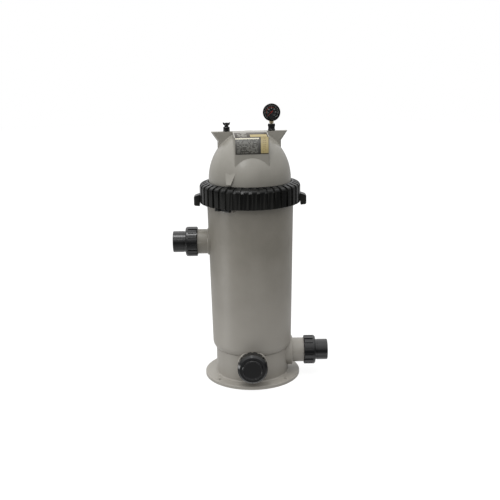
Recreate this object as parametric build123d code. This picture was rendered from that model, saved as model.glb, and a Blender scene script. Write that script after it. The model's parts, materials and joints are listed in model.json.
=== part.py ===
from build123d import *
import os
from math import cos, radians, sin

# Cartridge filter housing for a pool or spa, as an assembly of separate pieces.
# Millimetres, +Z up, front at -Y. The origin is on the tank's axis, in the plane it stands on.

# Tank: outside shape
BASE_R = 167.0            # round base flange
BASE_T = 11.7
SKIRT_R = 126.4           # straight section above the flange
SEAM_Z = 105.0            # top of that section, where the tank's rounded shoulder starts
SHOULDER_Z = 131.0        # top of the rounded shoulder
WALL_R_LOW = 137.9        # tank wall at SHOULDER_Z
WALL_R_HIGH = 146.7       # tank wall at WALL_Z_HIGH, so the wall leans out by about a degree
WALL_Z_HIGH = 606.0
WALL_T = 8.0              # thickness of every tank wall
FLOOR_Z = 40.0            # inside floor
MOUTH_R = 140.0           # bore that takes the lid's spigot
MOUTH_Z = 672.0           # top rim, where the lid sits

# Base bolts
BOLT_SPACING_X = 229.0
BOLT_SPACING_Y = 190.0
BOLT_HOLE_R = 4.75

# Screw closures. Each thread is drawn as rings whose crests pass each other by THREAD_GAP.
THREAD_GAP = 0.7
TANK_THREAD_CORE_R = 148.5
TANK_THREAD_CREST_R = 154.0
TANK_THREAD_PITCH = 10.0
TANK_THREAD_Z = (632.0, 662.0)

# Locking ring
RING_R = 171.0
RING_LOW_Z = 623.5
RING_SIDE_Z = 677.0       # top of the straight ribbed side
RING_CROWN = (160.0, 689.0)   # the rounded shoulder ends here, in radius and height
RING_TOP_Z = 695.0        # from there the top slopes up to the lip
RING_LIP_R = 142.0
RING_BORE_R = 159.5
RING_RIBS = 40
RING_GROOVE_W = 10.5
RING_GROOVE_DEPTH = 4.5
RING_LUG_R = 191.0        # tip of the two turning lugs
RING_LUG_W = 40.0

# Lid
LID_TURN = 4.0            # the lid stands this many degrees round from the tank's front
LID_FLANGE_R = 153.5
LID_FLANGE_T = 12.0
LID_SPIGOT_R = 139.3
LID_SPIGOT_LOW_Z = 650.0
LID_T = 7.0
DOME_BASE_Z = 700.0       # the dome is half an ellipse above this height
DOME_R = 139.5
DOME_H = 163.0
TOP_Z = 861.0             # flat top of the lid
PLINTH_W = 114.0          # block that carries the rating label
PLINTH_FRONT = 118.5
PLINTH_EDGE_Z = 853.5     # its front top edge
PLINTH_FLAT_Y = 45.0      # its top slopes up to the flat from here to the front edge
PLINTH_LOW_Z = 738.0
WING_TIP_X = 128.4        # the two lifting wings
WING_KNEE_X = 106.5
WING_KNEE_Z = 829.5
WING_FRONT = 10.0
WING_BACK = 16.0
WING_BEVEL = 5.0
PORT_X = 75.5             # gauge and relief valve stand at plus and minus this
PORT_Y = 3.0
PORT_HOLE_R = 7.0
LABEL_W = 107.0
LABEL_LOW_Z = 799.0
LABEL_TOP_LENGTH = 72.0   # how far it runs back over the plinth's top
LABEL_T = 0.6

# Pipe connections, measured along each one's own axis from the tank's axis
INLET_Z = 484.0
OUTLET_Z = 81.0
DRAIN_Z = 80.0
NECK_R = 42.5
NECK_BORE_R = 32.0
NECK_CORE_R = 40.5        # under the threads
NECK_PITCH = 6.0
NECK_THREAD_L = 24.0
PORT_NECK_END = 206.0
DRAIN_NECK_END = 169.0
NUT_R = 51.0
NUT_L = 40.0
NUT_RIBS = 16
NUT_LIP_T = 6.0
NUT_PAST_NECK = 17.0      # outer end of a nut, beyond the end of its neck
SHOULDER_R = 41.6         # collar that the nut pulls against the neck
SHOULDER_T = 9.8
FACE_GAP = 0.6            # between a neck's end face and the collar
TAIL_R = 36.5             # outside of the tailpiece: fits inside a 2 1/2 inch socket
SOCKET_R = 30.2           # inside of the tailpiece: takes a 2 inch pipe
SOCKET_DEPTH = 38.0
TAIL_BORE_R = 25.5
TAIL_BARREL_START = 231.0
TAIL_END = 267.0
PLUG_R = 35.0             # blank disc that shows in the drain nut
PLUG_END = 190.0

# Cartridge
CART_LOW_Z = 150.0
CART_TOP_Z = 745.0
CART_R = 108.0
CART_CAP_T = 16.0
MEDIA_R = 104.0
MEDIA_IN_R = 50.5
CORE_R = 49.5
CORE_T = 3.0
BAND_Z = (290.0, 447.0, 604.0)

# Outlet pipe inside the tank
PIPE_R = 28.5
PIPE_BORE_R = 25.0
PIPE_TOP_Z = 186.0
PIPE_END_X = 150.0

# Air tube in the middle
TUBE_R = 6.0
TUBE_BORE_R = 4.5
TUBE_TOP_Z = 800.0

# Pressure gauge, 2 inch size
GAUGE_Z = 922.0
GAUGE_R = 29.2
GAUGE_CASE_R = 27.6
DIAL_R = 25.0

# Lock tab below the ring
TAB_TURN = -34.0          # degrees round from the front
TAB_PIN_Y = -152.5
TAB_PIN_Z = 616.5
TAB_PIN_R = 1.5
TAB_HUB_R = 3.4
TAB_PRONG_X = 20.5
TAB_PRONG_END = -167.5    # inside the circle that the ring's lugs sweep
TAB_PRONG_W = 15.0


def face_of(curve):
    """Flat face in the XZ plane from a closed curve drawn in (radius, height)."""
    return Plane.XZ * make_face(curve)


def turned(*points):
    """Solid of revolution about Z from a closed outline of (radius, height) points."""
    return revolve(face_of(Polyline(*points, close=True)), Axis.Z)


def disc(radius, low, high):
    return Pos(0, 0, (low + high) / 2) * Cylinder(radius, high - low)


def pipe(outer_r, inner_r, low, high):
    return turned((inner_r, low), (outer_r, low), (outer_r, high), (inner_r, high))


def block(x_range, y_range, z_range):
    """Box from its low and high values along each axis."""
    size = [high - low for low, high in (x_range, y_range, z_range)]
    middle = [(high + low) / 2 for low, high in (x_range, y_range, z_range)]
    return Pos(*middle) * Box(*size)


def o_ring(major_r, minor_r, height):
    return Pos(0, 0, height) * Torus(major_r, minor_r)


def ring_threads(core_r, crest_r, low, high, pitch):
    """Outline points, going up, of one ridge per turn of a thread between two heights."""
    points = []
    for turn in range(round((high - low) / pitch)):
        start = low + turn * pitch
        points += [(core_r, start + 0.15 * pitch), (crest_r, start + 0.4 * pitch),
                   (crest_r, start + 0.6 * pitch), (core_r, start + 0.85 * pitch)]
    return points


def around(count, piece):
    """The same piece, copied evenly about Z."""
    return [Rot(0, 0, turn * 360 / count) * piece for turn in range(count)]


# Directions of the three pipe connections: Z runs outwards along the connection
INLET = Plane(origin=(0, 0, INLET_Z), x_dir=(0, 1, 0), z_dir=(-1, 0, 0)).location
OUTLET = Plane(origin=(0, 0, OUTLET_Z), x_dir=(0, 1, 0), z_dir=(1, 0, 0)).location
DRAIN = Plane(origin=(0, 0, DRAIN_Z), x_dir=(1, 0, 0), z_dir=(0, -1, 0)).location
# The lid's own frame, and the gauge's frame in it: Z runs out of the dial, Y is up
LID = Rot(0, 0, LID_TURN)
GAUGE = LID * Plane(origin=(PORT_X, PORT_Y, GAUGE_Z), x_dir=(1, 0, 0), z_dir=(0, -1, 0)).location
TAB = Rot(0, 0, TAB_TURN)


def wall_radius(height):
    lean = (WALL_R_HIGH - WALL_R_LOW) / (WALL_Z_HIGH - SHOULDER_Z)
    return WALL_R_LOW + lean * (height - SHOULDER_Z)


def tank_outside():
    """Solid tank with its flange, shoulder, leaning wall and the rings of its closure thread."""
    edge = 2.0
    root = 3.0
    low_part = Polyline(
        (0, 0), (BASE_R - 1, 0), (BASE_R, 1), (BASE_R, BASE_T - edge), (BASE_R - edge, BASE_T),
        (SKIRT_R + root, BASE_T), (SKIRT_R, BASE_T + root), (SKIRT_R, SEAM_Z),
        (SKIRT_R - 1.2, SEAM_Z + 0.8), (SKIRT_R + 2.6, SEAM_Z + 2.4))
    shoulder = ThreePointArc((SKIRT_R + 2.6, SEAM_Z + 2.4), (SKIRT_R + 8.6, SEAM_Z + 11.5),
                             (WALL_R_LOW, SHOULDER_Z))
    threads = ring_threads(TANK_THREAD_CORE_R, TANK_THREAD_CREST_R, *TANK_THREAD_Z,
                           TANK_THREAD_PITCH)
    high_part = Polyline(
        (WALL_R_LOW, SHOULDER_Z), (WALL_R_HIGH, WALL_Z_HIGH), (TANK_THREAD_CORE_R, WALL_Z_HIGH + 8),
        *threads, (150.0, TANK_THREAD_Z[1] + 2), (150.0, MOUTH_Z), (0, MOUTH_Z), (0, 0))
    return revolve(face_of(low_part + shoulder + high_part), Axis.Z)


def tank_cavity():
    corner = 6.0
    return turned(
        (0, FLOOR_Z), (SKIRT_R - WALL_T - corner, FLOOR_Z), (SKIRT_R - WALL_T, FLOOR_Z + corner),
        (SKIRT_R - WALL_T, SEAM_Z), (wall_radius(SHOULDER_Z) - WALL_T, SHOULDER_Z + 2),
        (wall_radius(636) - WALL_T, 636), (MOUTH_R, 640), (MOUTH_R, MOUTH_Z + 1), (0, MOUTH_Z + 1))


def threaded_neck(start, end, boss_r, boss_end):
    """Solid neck along Z, with a round boss at its root and thread rings at its end."""
    threads = ring_threads(NECK_CORE_R, NECK_R, end - NECK_THREAD_L, end, NECK_PITCH)
    neck = turned((0, start), (NECK_R, start), (NECK_R, end - NECK_THREAD_L), *threads,
                  (NECK_CORE_R, end), (0, end))
    boss = turned((0, start), (boss_r, start), (boss_r, boss_end - 3), (boss_r - 3, boss_end),
                  (0, boss_end))
    return neck + boss


def seal_groove(end):
    """Ring cut from a neck's end face, for its O-ring."""
    return pipe(39.0, 34.0, end - 4.2, end + 1)


def tank_shell():
    under_r = SKIRT_R - WALL_T
    floor_t = WALL_T
    shell = tank_outside()
    shell += INLET * threaded_neck(110, PORT_NECK_END, 47.0, wall_radius(INLET_Z) + 4)
    shell += OUTLET * threaded_neck(95, PORT_NECK_END, 52.0, wall_radius(OUTLET_Z) + 5)
    shell += DRAIN * threaded_neck(95, DRAIN_NECK_END, 50.0, SKIRT_R + 9)
    ear = block((31, 35), (TAB_PIN_Y - 3, -144), (TAB_PIN_Z - 4, TAB_PIN_Z + 4))
    ear_hole = Pos(0, TAB_PIN_Y, TAB_PIN_Z) * Rot(0, 90, 0) * Cylinder(TAB_PIN_R, 80)
    shell += TAB * (ear + mirror(ear, Plane.YZ))
    shell -= TAB * ear_hole
    shell -= tank_cavity()
    shell -= disc(under_r, -1, FLOOR_Z - floor_t)
    for place, start, end in ((INLET, 110, PORT_NECK_END), (OUTLET, 90, PORT_NECK_END),
                              (DRAIN, 90, DRAIN_NECK_END)):
        shell -= place * (disc(NECK_BORE_R, start, end + 1) + seal_groove(end))
    for x_side in (-1, 1):
        for y_side in (-1, 1):
            hole = disc(BOLT_HOLE_R, -1, BASE_T + 1)
            shell -= Pos(x_side * BOLT_SPACING_X / 2, y_side * BOLT_SPACING_Y / 2, 0) * hole
    rib = block((20, under_r + 1), (-2.5, 2.5), (2, FLOOR_Z - floor_t + 1))
    hub = pipe(24, 18, 2, FLOOR_Z - floor_t + 1)
    return shell + hub + around(8, rib)


def inlet_baffle():
    """Curved plate held off the wall in front of the inlet, open along its top and bottom."""
    inner_r = 122.0
    plate = pipe(inner_r + 3, inner_r, INLET_Z - 56, INLET_Z + 56)
    feet = pipe(wall_radius(INLET_Z - 56) - WALL_T - 1.2, inner_r, INLET_Z - 56, INLET_Z + 56)
    sector = Rot(0, 0, 180) * extrude(
        make_face(Polyline((0, 0), (160, -92), (160, 92), close=True)), 1000)
    gap = Rot(0, 0, 180) * extrude(
        make_face(Polyline((0, 0), (160, -84), (160, 84), close=True)), 1000)
    return (plate & sector) + ((feet & sector) - gap)


def outlet_elbow():
    """Elbow from the cartridge's core to the outlet, with a cross that holds the air tube."""
    upright = disc(PIPE_R, OUTLET_Z, PIPE_TOP_Z)
    run = Pos(0, 0, OUTLET_Z) * Rot(0, 90, 0) * disc(PIPE_R, 0, PIPE_END_X)
    corner = Pos(0, 0, OUTLET_Z) * Sphere(PIPE_R)
    stand = block((-18, 18), (-5, 5), (FLOOR_Z, OUTLET_Z - PIPE_R + 6))
    elbow = upright + run + corner + stand
    elbow -= disc(PIPE_BORE_R, OUTLET_Z, PIPE_TOP_Z + 1)
    elbow -= Pos(0, 0, OUTLET_Z) * Rot(0, 90, 0) * disc(PIPE_BORE_R, 0, PIPE_END_X + 1)
    elbow -= Pos(0, 0, OUTLET_Z) * Sphere(PIPE_BORE_R)
    groove = pipe(PIPE_R + 1, PIPE_R - 1.8, 138, 143)
    elbow -= Pos(0, 0, OUTLET_Z) * Rot(0, 90, 0) * groove
    web = block((-PIPE_R + 1, PIPE_R - 1), (-1.5, 1.5), (PIPE_TOP_Z - 22, PIPE_TOP_Z - 4))
    cross = web + Rot(0, 0, 90) * web + disc(TUBE_R + 3, PIPE_TOP_Z - 26, PIPE_TOP_Z)
    return elbow + cross - disc(TUBE_R, PIPE_TOP_Z - 20, PIPE_TOP_Z + 1) \
        - disc(TUBE_BORE_R, PIPE_TOP_Z - 30, PIPE_TOP_Z)


def outlet_elbow_seal():
    return Pos(0, 0, OUTLET_Z) * Rot(0, 90, 0) * o_ring(PIPE_R + 0.6, 2.35, 140.5)


def breather_tube():
    return pipe(TUBE_R, TUBE_BORE_R, PIPE_TOP_Z - 20, TUBE_TOP_Z)


def breather_screen():
    """Small slotted strainer that caps the air tube."""
    cap_r = TUBE_R + 3.5
    low = TUBE_TOP_Z - 12
    cap = turned((TUBE_R, low), (cap_r, low), (cap_r, TUBE_TOP_Z + 11),
                 (cap_r - 2, TUBE_TOP_Z + 13), (0, TUBE_TOP_Z + 13), (0, TUBE_TOP_Z + 11),
                 (cap_r - 2, TUBE_TOP_Z + 10), (cap_r - 2, TUBE_TOP_Z), (TUBE_R, TUBE_TOP_Z))
    slot = block((0, cap_r + 1), (-0.6, 0.6), (TUBE_TOP_Z + 1, TUBE_TOP_Z + 9))
    return cap - around(12, slot)


def lid_seal():
    return o_ring(LID_SPIGOT_R - 2.6, 2.6, 661)


def lock_tab():
    """Two-pronged spring tab that pivots down, away from the ring's lower edge."""
    prong = block((-TAB_PRONG_W / 2, TAB_PRONG_W / 2), (TAB_PRONG_END, TAB_PIN_Y), (614, 622.6))
    prong = chamfer(prong.edges().filter_by(Axis.X).sort_by(Axis.Y)[0:2], 2.5)
    half = TAB_PRONG_X + TAB_PRONG_W / 2
    hub = Pos(0, TAB_PIN_Y, TAB_PIN_Z) * Rot(0, 90, 0) * Cylinder(TAB_HUB_R, 2 * half)
    web = block((-half, half), (TAB_PIN_Y - 5.5, TAB_PIN_Y), (TAB_PIN_Z - 1, TAB_PIN_Z + 3.4))
    tab = hub + web + [Pos(side * TAB_PRONG_X, 0, 0) * prong for side in (-1, 1)]
    tab -= block((-6, 6), (TAB_PIN_Y - 8, TAB_PIN_Y + 8), (TAB_PIN_Z - 8, TAB_PIN_Z + 8))
    tab += block((-8, 8), (TAB_PIN_Y - 7.5, TAB_PIN_Y - 4), (TAB_PIN_Z - 1, TAB_PIN_Z + 3.4))
    tab -= Pos(0, TAB_PIN_Y, TAB_PIN_Z) * Rot(0, 90, 0) * Cylinder(TAB_PIN_R + 0.05, 90)
    return TAB * tab


def lock_tab_pin():
    return TAB * Pos(0, TAB_PIN_Y, TAB_PIN_Z) * Rot(0, 90, 0) * Cylinder(TAB_PIN_R, 70)


def lock_tab_spring():
    """Torsion spring wound on the tab's pin, with one leg against the tank wall."""
    coil_r, wire_r, pitch, turns = 2.4, 0.4, 1.25, 7
    path = Helix(pitch, pitch * turns, coil_r)
    start = Plane(origin=path @ 0, z_dir=path % 0)
    coil = sweep(start * Circle(wire_r), path)
    leg = Pos(coil_r, 0, 0) * Rot(90, 0, 0) * disc(wire_r + 0.05, -0.6, 9)
    along_pin = Plane(origin=(-pitch * turns / 2, TAB_PIN_Y, TAB_PIN_Z), x_dir=(0, 1, 0),
                      z_dir=(1, 0, 0)).location
    return TAB * along_pin * (coil + leg)


def union_nut(end, lip_r, corner=4.0):
    """Ribbed nut along Z whose outer face, with its corner cut off, is at the given distance."""
    start = end - NUT_L
    inner_r = NECK_R + THREAD_GAP
    root_r = inner_r + 2.4
    thread_end = end - NUT_LIP_T - SHOULDER_T - 1.2
    ridges = [(root_r + inner_r - radius, height) for radius, height in
              ring_threads(inner_r, root_r, start + 1.5, thread_end - 1.0, NECK_PITCH)]
    outline = [(NUT_R, start + 2), (NUT_R, end - corner), (NUT_R - corner, end), (lip_r, end),
               (lip_r, end - NUT_LIP_T), (root_r, end - NUT_LIP_T)]
    nut = turned((root_r, start), (NUT_R - 2, start), *outline, *reversed(ridges))
    groove = block((NUT_R - 3.2, NUT_R + 1), (-3.2, 3.2), (start - 1, end - 9))
    return nut - around(NUT_RIBS, groove)


def tailpiece():
    """Pipe tail along Z: collar under the nut, then a barrel with a pipe socket in it."""
    start = PORT_NECK_END + FACE_GAP
    relief_r = TAIL_R - 0.6
    return turned(
        (TAIL_BORE_R, start), (SHOULDER_R - 1, start), (SHOULDER_R, start + 1),
        (SHOULDER_R, start + SHOULDER_T), (relief_r, start + SHOULDER_T),
        (relief_r, TAIL_BARREL_START), (TAIL_R, TAIL_BARREL_START), (TAIL_R, TAIL_END - 1.5),
        (TAIL_R - 1.5, TAIL_END), (SOCKET_R, TAIL_END),
        (SOCKET_R, TAIL_END - SOCKET_DEPTH), (TAIL_BORE_R, TAIL_END - SOCKET_DEPTH))


def union_seal(end):
    return o_ring(36.5, 2.2, end - 1.9)


def drain_plug():
    """Blank plug along Z: cup-shaped spigot, collar and a flat disc in the nut's opening."""
    start = DRAIN_NECK_END + FACE_GAP
    return turned(
        (0, start + 6), (24, start + 6), (26, start - 18), (30, start - 18), (31, start),
        (SHOULDER_R, start), (SHOULDER_R, start + SHOULDER_T), (PLUG_R, start + SHOULDER_T),
        (PLUG_R, PLUG_END - 1.5), (PLUG_R - 1.5, PLUG_END), (PLUG_R - 4, PLUG_END),
        (PLUG_R - 5, PLUG_END - 1), (0, PLUG_END - 1))


def lock_ring():
    """Internally threaded ring with a ribbed outside, a lip over the lid and two lugs."""
    crest_r = TANK_THREAD_CREST_R + THREAD_GAP
    ridges = [(RING_BORE_R + crest_r - radius, height) for radius, height in
              ring_threads(crest_r, RING_BORE_R, 628, 668, TANK_THREAD_PITCH)]
    lip_low = MOUTH_Z + LID_FLANGE_T + 0.6
    side = Polyline((RING_BORE_R, RING_LOW_Z), (RING_R - 1.5, RING_LOW_Z),
                    (RING_R, RING_LOW_Z + 1.5), (RING_R, RING_SIDE_Z))
    crown = ThreePointArc((RING_R, RING_SIDE_Z), (RING_R - 3.2, RING_CROWN[1] - 3.6), RING_CROWN)
    inside = Polyline(
        RING_CROWN, (RING_LIP_R + 1.5, RING_TOP_Z), (RING_LIP_R, RING_TOP_Z - 1.5),
        (RING_LIP_R, lip_low), (RING_BORE_R, lip_low), *reversed(ridges),
        (RING_BORE_R, RING_LOW_Z))
    ring = revolve(face_of(side + crown + inside), Axis.Z)
    lug_outline = Polyline(
        (RING_R - 6, 652), (RING_R - 1, 651), (RING_LUG_R - 4, 645.5), (RING_LUG_R, 642),
        (RING_LUG_R, 616), (RING_LUG_R - 3, 613), (RING_R + 0.5, 611.5),
        (RING_R + 0.5, RING_LOW_Z + 1), (RING_R - 6, RING_LOW_Z + 3), close=True)
    bottom = RING_R - RING_GROOVE_DEPTH
    groove_outline = Polyline(
        (bottom, RING_LOW_Z - 1), (RING_R + 1, RING_LOW_Z - 1), (RING_R + 1, RING_TOP_Z + 1),
        (RING_LIP_R + 6, RING_TOP_Z + 1), (RING_LIP_R + 6, RING_TOP_Z - 4.5),
        (RING_CROWN[0] - 2, RING_CROWN[1] - 3.5), (bottom, RING_SIDE_Z), close=True)
    groove = extrude(face_of(groove_outline), RING_GROOVE_W / 2, both=True)
    ring -= around(RING_RIBS, groove)
    lug = extrude(face_of(lug_outline), RING_LUG_W / 2, both=True)
    lug = chamfer(lug.edges().filter_by(Axis.Z).sort_by(Axis.X)[-2:], 5)
    return ring + lug + Rot(0, 0, 180) * lug


def half_ellipse(radius, height, low):
    """Solid dome: a curve through a quarter ellipse turned about Z, standing on a short drum."""
    points = [(radius * cos(radians(angle)), DOME_BASE_Z + height * sin(radians(angle)))
              for angle in range(0, 91, 10)]
    points[-1] = (0, DOME_BASE_Z + height)
    curve = Spline(*points, tangents=((0, 1), (-1, 0)))
    rest = Polyline((0, DOME_BASE_Z + height), (0, low), (radius, low), (radius, DOME_BASE_Z))
    return revolve(face_of(curve + rest), Axis.Z)


def plinth(inset):
    """Block in front of the dome, shrunk by inset on every side that shows."""
    front = -PLINTH_FRONT + inset
    outline = Polyline((0, PLINTH_LOW_Z), (front, PLINTH_LOW_Z), (front, PLINTH_EDGE_Z - inset),
                       (-PLINTH_FLAT_Y, TOP_Z - inset), (0, TOP_Z - inset), close=True)
    solid = extrude(Plane.YZ * make_face(outline), PLINTH_W / 2 - inset, both=True)
    return fillet(solid.edges().filter_by(Axis.Z).sort_by(Axis.Y)[:2], 4)


def wings():
    """Plate along X with a flat top and slanted ends, cored out from behind."""
    def plate(inset):
        return Polyline(
            (-WING_TIP_X + 1.7 * inset, TOP_Z - inset), (WING_TIP_X - 1.7 * inset, TOP_Z - inset),
            (WING_KNEE_X - inset, WING_KNEE_Z), (WING_KNEE_X - inset, 780),
            (-WING_KNEE_X + inset, 780), (-WING_KNEE_X + inset, WING_KNEE_Z), close=True)
    depth = WING_FRONT + WING_BACK
    solid = Pos(0, WING_BACK, 0) * extrude(face_of(plate(0)), depth)
    low_edges = [edge for edge in solid.edges().filter_by(Plane.XZ)
                 if edge.center().Y < 0 and 785 < edge.center().Z < TOP_Z - 1]
    solid = chamfer(low_edges, WING_BEVEL)
    core = Pos(0, WING_BACK, 0) * extrude(face_of(plate(6)), depth - 7)
    keep = block((-62, 62), (-20, 20), (770, 870))
    for side in (-1, 1):
        keep += Pos(side * PORT_X, PORT_Y, 0) * disc(12.5, 770, 870)
        keep += block((side * PORT_X - 1.5, side * PORT_X + 1.5), (-20, 20), (770, 870))
        keep += block((side * 101 - 1.5, side * 101 + 1.5), (-20, 20), (770, 870))
    return solid - (core - keep)


def blended(edge):
    """True for the curves where the plinth and the front of the wings meet the dome."""
    box = edge.bounding_box()
    curved = edge.geom_type != GeomType.LINE and box.min.Z > DOME_BASE_Z + 5
    wing = abs(box.min.Y + WING_FRONT) < 0.01 and abs(box.max.Y + WING_FRONT) < 0.01
    plinth_side = edge.length > 100 and edge.center().Y < -20
    return curved and (wing or plinth_side)


def arrow():
    """Raised mark that points down to the ring: flush at its top, proud at its tip."""
    top, low = 738, 701
    outline = face_of(Polyline((-19, top), (19, top), (8, low), (-8, low), close=True))
    slope = Polyline((-125, top), (-134.5, top), (-149, low + 2), (-149, low), (-125, low),
                     close=True)
    return extrude(Pos(0, -120, 0) * outline, 30) & extrude(Plane.YZ * make_face(slope), 20,
                                                            both=True)


def lid_dome():
    """Domed lid: flange, spigot with seal groove, label plinth, wings and two threaded holes."""
    flange = turned((0, MOUTH_Z), (LID_FLANGE_R - 1, MOUTH_Z), (LID_FLANGE_R, MOUTH_Z + 1),
                    (LID_FLANGE_R, MOUTH_Z + LID_FLANGE_T - 1),
                    (LID_FLANGE_R - 1, MOUTH_Z + LID_FLANGE_T), (0, MOUTH_Z + LID_FLANGE_T))
    spigot = turned((0, LID_SPIGOT_LOW_Z), (LID_SPIGOT_R - 3, LID_SPIGOT_LOW_Z),
                    (LID_SPIGOT_R, LID_SPIGOT_LOW_Z + 3), (LID_SPIGOT_R, 658),
                    (LID_SPIGOT_R - 5.2, 658), (LID_SPIGOT_R - 5.2, 664), (LID_SPIGOT_R, 664),
                    (LID_SPIGOT_R, MOUTH_Z + 1), (0, MOUTH_Z + 1))
    dome = half_ellipse(DOME_R, DOME_H, MOUTH_Z + 1) & disc(DOME_R + 5, MOUTH_Z, TOP_Z)
    lid = dome + plinth(0) + wings()
    lid = fillet([edge for edge in lid.edges() if blended(edge)], 3)
    lid += flange + spigot + Rot(0, 0, -32) * arrow()
    lid -= half_ellipse(DOME_R - LID_T, DOME_H - LID_T, LID_SPIGOT_LOW_Z - 1)
    lid -= plinth(LID_T)
    for side in (-1, 1):
        lid -= Pos(side * PORT_X, PORT_Y, 0) * disc(PORT_HOLE_R, 800, TOP_Z + 1)
    return LID * lid


def rating_label():
    """Thin plate stuck on the plinth's front and folded back over its top."""
    run = PLINTH_FRONT - PLINTH_FLAT_Y
    slope = (TOP_Z - PLINTH_EDGE_Z) / run
    front = -PLINTH_FRONT
    back = front + LABEL_TOP_LENGTH
    top = PLINTH_EDGE_Z + slope * LABEL_TOP_LENGTH
    outline = Polyline((front, LABEL_LOW_Z), (front, PLINTH_EDGE_Z), (back, top),
                       (back, top + LABEL_T), (front - LABEL_T, PLINTH_EDGE_Z + LABEL_T),
                       (front - LABEL_T, LABEL_LOW_Z), close=True)
    return LID * extrude(Plane.YZ * make_face(outline), LABEL_W / 2, both=True)


def at_port(side, piece):
    return LID * Pos(side * PORT_X, PORT_Y, 0) * piece


def relief_body():
    """Threaded valve body: stub in the lid, hexagon, collar with a vent, and a short neck."""
    stub = disc(PORT_HOLE_R, 847, TOP_Z)
    hexagon = Pos(0, 0, TOP_Z) * extrude(RegularPolygon(11.0, 6), 8)
    collar = turned((0, 869), (10, 869), (11, 870), (11, 875), (10, 876.5), (0, 876.5))
    neck = disc(6.8, 876.5, 880)
    body = stub + hexagon + collar + neck
    body -= disc(3.6, 852, 881)
    body -= disc(2.0, 846, 853)
    vent = Pos(0, 0, 872.5) * Rot(90, 0, 0) * Cylinder(1.4, 30)
    return at_port(-1, body - vent)


def relief_plunger():
    """Valve rod with a seal groove at its foot and a retaining head at its top."""
    groove = (2.2, 855.4)
    rod = turned((0, 852.6), (2.6, 852.6), (3.55, 853.6), (3.55, 854.2), (groove[0], 854.2),
                 (groove[0], 856.6), (3.55, 856.6), (3.55, 880.2), (3.3, 880.2), (3.3, 888.6),
                 (4.6, 888.6), (4.6, 889.6), (4.0, 890.2), (0, 890.2))
    return at_port(-1, rod)


def relief_seal():
    return at_port(-1, o_ring(2.85, 0.65, 855.4))


def relief_knob():
    """Wing knob, flared towards its top."""
    hub = turned((3.35, 880.6), (6.8, 880.6), (6.8, 883), (8.6, 888.4), (3.35, 888.4))
    outline = Polyline((-6, 881.2), (6, 881.2), (11.5, 884.6), (12, 891.2), (9, 891.2),
                       (7.6, 889.4), (-7.6, 889.4), (-9, 891.2), (-12, 891.2), (-11.5, 884.6),
                       close=True)
    wing = extrude(face_of(outline), 3, both=True)
    knob = hub + wing
    return at_port(-1, knob - disc(3.35, 880, 892) - disc(5.1, 888.4, 892))


def gauge_adapter():
    """Knurled adapter: stub in the lid, and a socket for the gauge's stem."""
    body = turned((4.6, 851), (4.6, 847), (PORT_HOLE_R, 847), (PORT_HOLE_R, 863.2), (9.8, 863.2),
                  (9.8, TOP_Z), (11.6, TOP_Z), (12.2, 863), (12.2, 866), (11.2, 867),
                  (11.2, 874), (12.4, 875), (12.4, 883), (11.4, 884), (4.6, 884))
    groove = block((11.7, 13), (-0.9, 0.9), (874.5, 885))
    return at_port(1, body - around(20, groove))


def gauge_seal():
    return at_port(1, o_ring(8.4, 1.1, 862.1))


def gauge_socket():
    """Brass stem with a hexagon, and the block inside the case that holds the tube."""
    stem = Rot(90, 0, 0) * disc(4.55, 25.1, 50)
    hexagon = Rot(90, 0, 0) * Pos(0, 0, 29.5) * extrude(RegularPolygon(7.6, 6), 6.5)
    inner = block((-6, 6), (-25.3, -15.5), (-7.5, -1.5))
    return GAUGE * (stem + hexagon + inner)


def gauge_case():
    cup = turned((0, -11), (25, -11), (GAUGE_CASE_R, -8.4), (GAUGE_CASE_R, 9), (26.2, 9),
                 (26.2, -7.8), (24.4, -9.6), (0, -9.6))
    opening = Rot(90, 0, 0) * disc(4.6, 20, 32)
    return GAUGE * (cup - opening)


def gauge_bezel():
    return GAUGE * turned(
        (GAUGE_CASE_R, 4.6), (GAUGE_R - 0.4, 4.6), (GAUGE_R, 5), (GAUGE_R, 10.4),
        (GAUGE_R - 1.6, 12), (25.4, 12), (25, 11.6), (25, 10.8), (GAUGE_CASE_R, 10.8))


def gauge_lens():
    return GAUGE * disc(GAUGE_CASE_R, 9.1, 10.8)


def gauge_dial():
    return GAUGE * (disc(DIAL_R, 2.0, 2.8) - disc(1.3, 1, 4))


def gauge_needle():
    """Pointer on its arbor; at rest it points down and to the left, at zero."""
    arbor = disc(0.8, -4.4, 5.0)
    hub = turned((0, 4.0), (2.6, 4.0), (2.6, 5.2), (1.6, 6.0), (0, 6.0))
    pointer = extrude(Pos(0, 0, 4.3) * make_face(Polyline(
        (-6.5, -1.6), (0, -1.0), (19.5, -0.25), (19.5, 0.25), (0, 1.0), (-6.5, 1.6),
        close=True)), 0.6)
    return GAUGE * Rot(0, 0, 225) * (arbor + hub + pointer)


def gauge_pinion():
    tooth = block((1.2, 2.0), (-0.25, 0.25), (-3.0, -1.4))
    return GAUGE * (pipe(1.4, 0.8, -3.0, -1.4) + around(10, tooth))


def gauge_movement():
    """Two plates on four pillars that carry the pinion's and the sector's arbors."""
    low = block((-6, 15), (-9, 9), (-5.2, -4.4))
    high = block((-6, 15), (-9, 9), (0.2, 1.0))
    frame = low + high
    for x_place in (-4.6, 13.6):
        for y_place in (-7.6, 7.6):
            frame += Pos(x_place, y_place, 0) * disc(0.9, -5.2, 1.0)
    frame += block((-3, 3), (-15.5, -7), (-5.2, -4.4))
    return GAUGE * (frame - disc(0.9, -6, 2) - Pos(11, 0, 0) * disc(0.9, -6, 2))


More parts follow.
